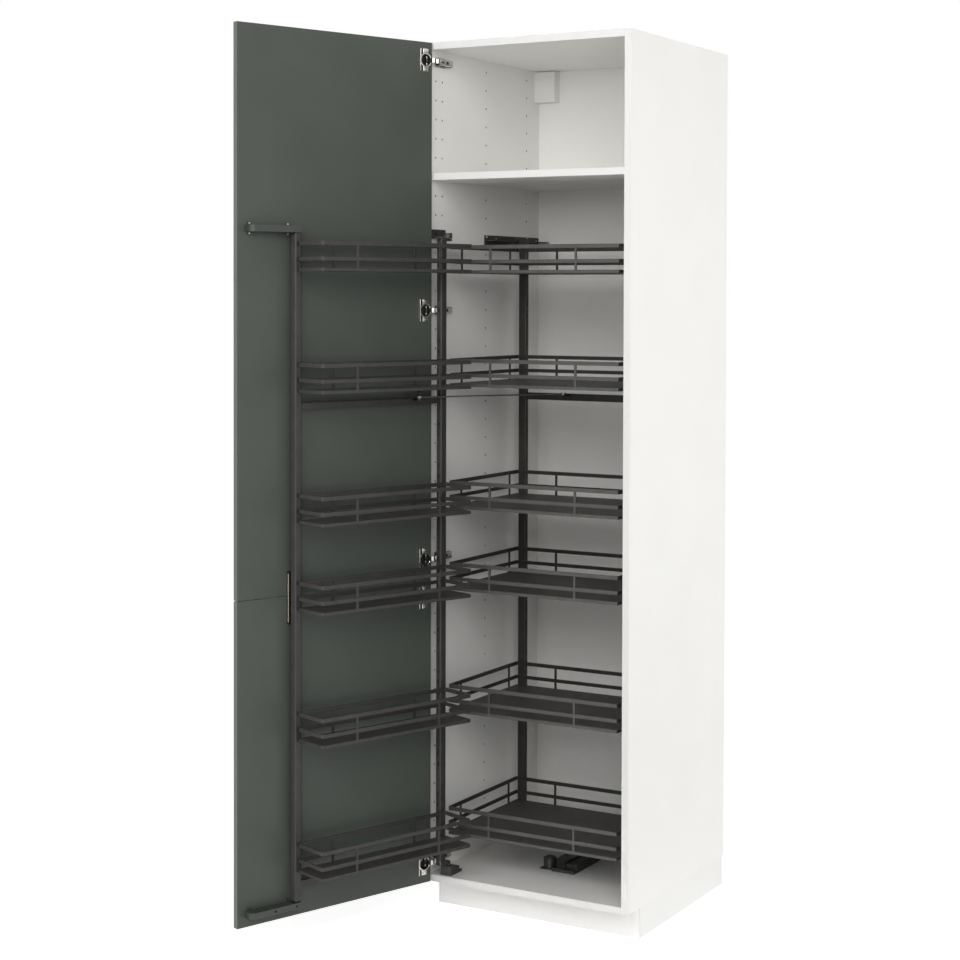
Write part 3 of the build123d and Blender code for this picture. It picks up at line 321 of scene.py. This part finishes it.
def screw(bm, place, head, rise, shank, length, slot=bright):
    """A pan head on the plane z = 0 with its shank below."""
    tip_share, tip_length = 0.3, 2.0
    skirt, crown = 0.35, 0.02
    rings, segments = 14, 48
    recess_reach = head * 0.7
    profile = [(shank * tip_share, -length), (shank, tip_length - length), (shank, 0.0), (head, 0.0),
               (head, rise * skirt)]
    for step in range(rings + 1):
        radius = head * (1 - step / rings) * (1 - crown) + crown
        level = rise * (skirt + (1 - skirt) * math.sqrt(max(0.0, 1 - (radius / head) ** 2)))
        profile.append((radius, level))
    recess = cross_recess(head * 0.62, head * 0.17, rise * 0.55)
    turned(bm, place, profile, segments, slot,
           lambda x, y: recess(x, y) if math.hypot(x, y) < recess_reach else 0.0)


# The part's own places that the small pieces follow

hinge_heights = (132.0, 832.0, 932.0, 1582.0, 2232.0)
system_columns = (27.0, 59.0)
wall_face = -279.5
bracket_face = -279.0
guide_row = 1782.0
joiner_x, joiner_z = 447.0, 875.0
pin_x, pin_y = -284.9, -14.0
cup_x = 22.0


def cabinet_screw_piece():
    """Screws of the hinge plates, the pivot fittings and the guides, and two rivets on the wall plate."""
    rivet = [(1.2, -2.0), (1.2, 0.0), (2.2, 0.1), (2.0, 0.6), (1.3, 1.0), (0.4, 1.2)]
    bm = bmesh.new()
    for z in hinge_heights:
        for y in system_columns:
            screw(bm, spot(cabinet_at, wall_face, y, z, sideways), *system_screw)
    for y in system_columns:
        screw(bm, spot(cabinet_at, bracket_face, y, guide_row, sideways), *system_screw, dark)
    for y in (288.0, 516.0):
        screw(bm, spot(cabinet_at, wall_face, y, guide_row, sideways), *system_screw)
    for x in (-243.2, -227.2):
        screw(bm, spot(cabinet_at, x, 57.5, 104.0), *system_screw, dark)
    for y in (340.0, 569.0):
        turned(bm, spot(cabinet_at, -279.6, y, 1778.0, sideways), rivet, 24)
    for x, y in ((1.75, 194.0), (1.75, 320.0), (-40.0, 255.0), (-40.0, 320.0)):
        screw(bm, spot(cabinet_at, x, y, 101.0), *system_screw, dark)
    piece("cabinet_screw_heads", "cabinet", bm, (finishes["fitting_steel"], black_zinc_and_painted_shade),
          "cabinet_screws")


def door_screw_piece():
    """Screws of the hinge cups, the joining plate under its plugs, and the guide rails."""
    plug = [(3.2, 4.2), (3.66, 4.4), (3.66, 6.6), (3.4, 6.9), (2.0, 6.95)]
    bm = bmesh.new()
    for z in hinge_heights:
        for side in (-24.0, 24.0):
            screw(bm, spot(door_at, 27.0, 1.2, z + side, outwards), *chip_screw)
    for step in (-49.5, -16.5, 16.5, 49.5):
        screw(bm, spot(door_at, joiner_x, 2.0, joiner_z + step, outwards), *chip_screw, dark)
        turned(bm, spot(door_at, joiner_x, 0.0, joiner_z + step, outwards), plug, 32, accent)
    for z, slot in ((126.0, dark), (1770.5, bright), (1794.5, bright)):
        for x in (452.0, 563.0):
            screw(bm, spot(door_at, x, 3.0, z, outwards), *rail_screw, slot)
    piece("door_screw_heads", "door", bm, (finishes["fitting_steel"], black_zinc_and_painted_shade, dark_gloss),
          "door_screws")


def joiner_highlight_piece():
    """A pale strip along the joining plate's edge that faces the door's free edge: a painted highlight."""
    bm = bmesh.new()
    rounded_block(bm, spot(door_at, 0, 0, joiner_z), (451.9, 4.9, -60.0), (453.1, 7.05, 60.0), 0.5)
    piece("joining_plate_painted_highlight", "door", bm, (painted_edge_highlight,))


def hinge_cup_piece():
    """Pressed cups with a rolled rim, screw tabs and the raised edge of their cover."""
    rim = [(17.45, -13.0), (17.45, 0.0), (18.6, 0.1), (18.6, 1.3), (18.0, 2.0), (16.0, 2.0), (15.2, 1.3)]
    bowl = [(15.2, 1.3), (14.8, 0.0), (14.6, -11.5), (13.0, -12.9)]
    segments = 48
    bm = bmesh.new()
    for z in hinge_heights:
        at = spot(door_at, 0, 0, z)
        cup_at = spot(door_at, cup_x, 0, z, outwards)
        turned(bm, cup_at, rim, segments, closed=False)
        # the bowl inside the rim is drawn dark: painted shade in the cup's hollow
        turned(bm, cup_at, bowl, segments, dark)
        for side in (-1, 1):
            # a screw tab, and the dark strip between it and the cover's edge
            ends = sorted((side * 14.5, side * 29.4))
            rounded_block(bm, at, (14.5, 0.0, ends[0]), (31.5, 1.2, ends[1]), 0.5)
            ends = sorted((side * 11.0, side * 27.0))
            rounded_block(bm, at, (31.0, 0.0, ends[0]), (40.6, 0.8, ends[1]), 0.3, dark)
        rounded_block(bm, at, (40.2, 0.0, -29.0), (42.8, 4.6, 29.0), 0.6)
    piece("hinge_cup_shells", "door", bm, (finishes["hinge_nickel"], black_zinc_and_painted_shade), "hinge_cups")


def hinge_arm_piece():
    """Pressed arms with a ribbed face, a rear catch, and necks that go down to the pins."""
    knuckle = [(1.55, 0.0), (2.6, 0.0), (2.8, 0.3), (2.8, 11.7), (2.6, 12.0), (1.55, 12.0)]
    half_neck = 6.0
    facet_x = -266.6
    facet_turn = Matrix.Rotation(math.radians(-53), 4, "Z")
    bm = bmesh.new()
    for z in hinge_heights:
        at = spot(cabinet_at, 0, 0, z)
        # the arm's channel, two ribs along its face and the catch at its rear
        rounded_block(bm, at, (wall_face, 22.0, -8.5), (-268.2, 90.0, 8.5), 1.4)
        rounded_block(bm, at, (-268.6, 30.0, 3.4), (-267.7, 84.0, 5.2), 0.3)
        rounded_block(bm, at, (-268.6, 30.0, -5.2), (-267.7, 84.0, -3.4), 0.3)
        rounded_block(bm, at, (wall_face, 87.0, -7.0), (-270.0, 93.0, 7.0), 1.6)
        # its front end, the seams on both sides and the slot of the depth screw, as dark strips of painted
        # shade
        rounded_block(bm, at, (-279.4, 20.9, -8.3), (-268.4, 22.6, 8.3), 0.3, dark)
        for side in (-1, 1):
            ends = sorted((side * 8.2, side * 8.8))
            rounded_block(bm, at, (wall_face, 24.0, ends[0]), (-270.5, 90.0, ends[1]), 0.2, dark)
        rounded_block(bm, at, (-268.4, 33.0, -2.2), (-267.9, 47.0, 2.2), 0.2, dark)
        # the neck, dark as painted shade, with two facets turned towards the key lamp and painted near-white as
        # a highlight; its bent end, also dark as painted shade, and the knuckle round the pin
        rounded_block(bm, at, (-269.8, -14.8, -half_neck), (-268.4, 24.0, half_neck), 0.4, dark)
        for y in (-10.5, 8.5):
            facet = spot(cabinet_at, facet_x, y, z, facet_turn)
            rounded_block(bm, facet, (-0.7, -4.0, -half_neck), (0.7, 4.0, half_neck), 0.3, accent)
        rounded_block(bm, at, (pin_x, -14.8, -half_neck), (-268.4, -13.2, half_neck), 0.4, dark)
        turned(bm, spot(cabinet_at, pin_x, pin_y, z - half_neck), knuckle, 32, dark)
    piece("hinge_arm_pressings", "cabinet", bm, (finishes["hinge_nickel"], black_zinc_and_painted_shade, steel_painted_highlight),
          "hinge_arms")


cabinet_screw_piece()
door_screw_piece()
joiner_highlight_piece()
hinge_cup_piece()
hinge_arm_piece()


# Floor, light and camera

floor_reach = 60.0
floor_tone = 0.9
floor_glow = 0.63
world_fill = 0.42


def white_where_seen(tree, plain, seen):
    """The bright shader for what the camera and reflections see, the plain one for the light."""
    path = tree.nodes.new("ShaderNodeLightPath")
    first = tree.nodes.new("ShaderNodeMath")
    first.operation = "MAXIMUM"
    link(tree, path, "Is Camera Ray", first, 0)
    link(tree, path, "Is Glossy Ray", first, 1)
    second = tree.nodes.new("ShaderNodeMath")
    second.operation = "MAXIMUM"
    link(tree, first, 0, second, 0)
    link(tree, path, "Is Transmission Ray", second, 1)
    mix = tree.nodes.new("ShaderNodeMixShader")
    link(tree, second, 0, mix, 0)
    link(tree, plain, 0, mix, 1)
    link(tree, seen, 0, mix, 2)
    return mix


def studio_floor():
    mesh = bpy.data.meshes.new("studio_floor")
    reach = floor_reach
    corners = [(-reach, -reach, 0), (reach, -reach, 0), (reach, reach, 0), (-reach, reach, 0)]
    mesh.from_pydata(corners, [], [(0, 1, 2, 3)])
    floor = bpy.data.objects.new("studio_floor", mesh)
    bpy.context.scene.collection.objects.link(floor)
    material = bpy.data.materials.new("studio_floor")
    material.use_nodes = True
    tree = material.node_tree
    tree.nodes.remove(tree.nodes["Principled BSDF"])
    plain = tree.nodes.new("ShaderNodeBsdfDiffuse")
    plain.inputs["Color"].default_value = (floor_tone, floor_tone, floor_tone, 1)
    glow = tree.nodes.new("ShaderNodeEmission")
    glow.inputs["Strength"].default_value = floor_glow
    both = tree.nodes.new("ShaderNodeAddShader")
    link(tree, plain, 0, both, 0)
    link(tree, glow, 0, both, 1)
    mix = white_where_seen(tree, plain, both)
    link(tree, mix, 0, tree.nodes["Material Output"], "Surface")
    mesh.materials.append(material)


def studio_world():
    world = bpy.data.worlds.new("studio")
    bpy.context.scene.world = world
    world.use_nodes = True
    tree = world.node_tree
    plain = tree.nodes["Background"]
    plain.inputs["Color"].default_value = (1, 1, 1, 1)
    plain.inputs["Strength"].default_value = world_fill
    seen = tree.nodes.new("ShaderNodeBackground")
    seen.inputs["Color"].default_value = (1, 1, 1, 1)
    seen.inputs["Strength"].default_value = 1.0
    mix = white_where_seen(tree, plain, seen)
    link(tree, mix, 0, tree.nodes["World Output"], "Surface")


def area_lamp(name, place, target, size, power, spread=180.0):
    """A rectangular lamp: places and size in metres, power in watts, spread in degrees."""
    lamp = bpy.data.lights.new(name, "AREA")
    lamp.spread = math.radians(spread)
    lamp.shape = "RECTANGLE"
    lamp.size, lamp.size_y = size
    lamp.energy = power
    obj = bpy.data.objects.new(name, lamp)
    bpy.context.scene.collection.objects.link(obj)
    obj.location = place
    obj.rotation_euler = (Vector(target) - Vector(place)).to_track_quat("-Z", "Y").to_euler()


def photo_camera():
    """The camera that was solved from the photo's edges."""
    camera = bpy.data.cameras.new("photo_camera")
    camera.sensor_width = 36.0
    camera.lens = 71.685
    camera.shift_x = -0.0377
    camera.shift_y = -0.1476
    place = (2.37278, -4.32323, 1.6247)
    yaw, pitch, roll = math.radians(29.4245), math.radians(-1.3195), math.radians(0.1749)
    forward = Vector((-math.sin(yaw) * math.cos(pitch), math.cos(yaw) * math.cos(pitch), math.sin(pitch)))
    right = Vector((math.cos(yaw), math.sin(yaw), 0))
    up = right.cross(forward)
    right, up = right * math.cos(roll) + up * math.sin(roll), up * math.cos(roll) - right * math.sin(roll)
    turn = Matrix((right, up, -forward)).transposed()
    obj = bpy.data.objects.new("photo_camera", camera)
    bpy.context.scene.collection.objects.link(obj)
    obj.matrix_world = Matrix.Translation(place) @ turn.to_4x4()
    bpy.context.scene.camera = obj


studio_floor()
studio_world()
area_lamp("key_light", (3.5, -4.6, 3.4), (0.0, 0.1, 1.7), (3.0, 3.0), 110.0)
area_lamp("front_light", (0.65, -4.8, 3.5), (0.0, 0.1, 1.7), (3.0, 3.0), 92.0)
area_lamp("low_light", (1.0, -5.2, 0.9), (0.0, 0.1, 0.9), (3.0, 1.2), 9.0)
area_lamp("upper_light", (0.9, -4.6, 2.4), (-0.1, 0.2, 2.2), (1.2, 0.6), 0.3, 22.0)
area_lamp("plinth_light", (1.0, -4.5, 0.35), (0.05, 0.0, 0.04), (1.0, 0.3), 0.22, 8.0)
area_lamp("rim_light", (4.2, 3.6, 1.3), (0.3, 0.25, 1.0), (3.0, 3.0), 86.0)
photo_camera()
bpy.context.scene.view_settings.view_transform = "Standard"
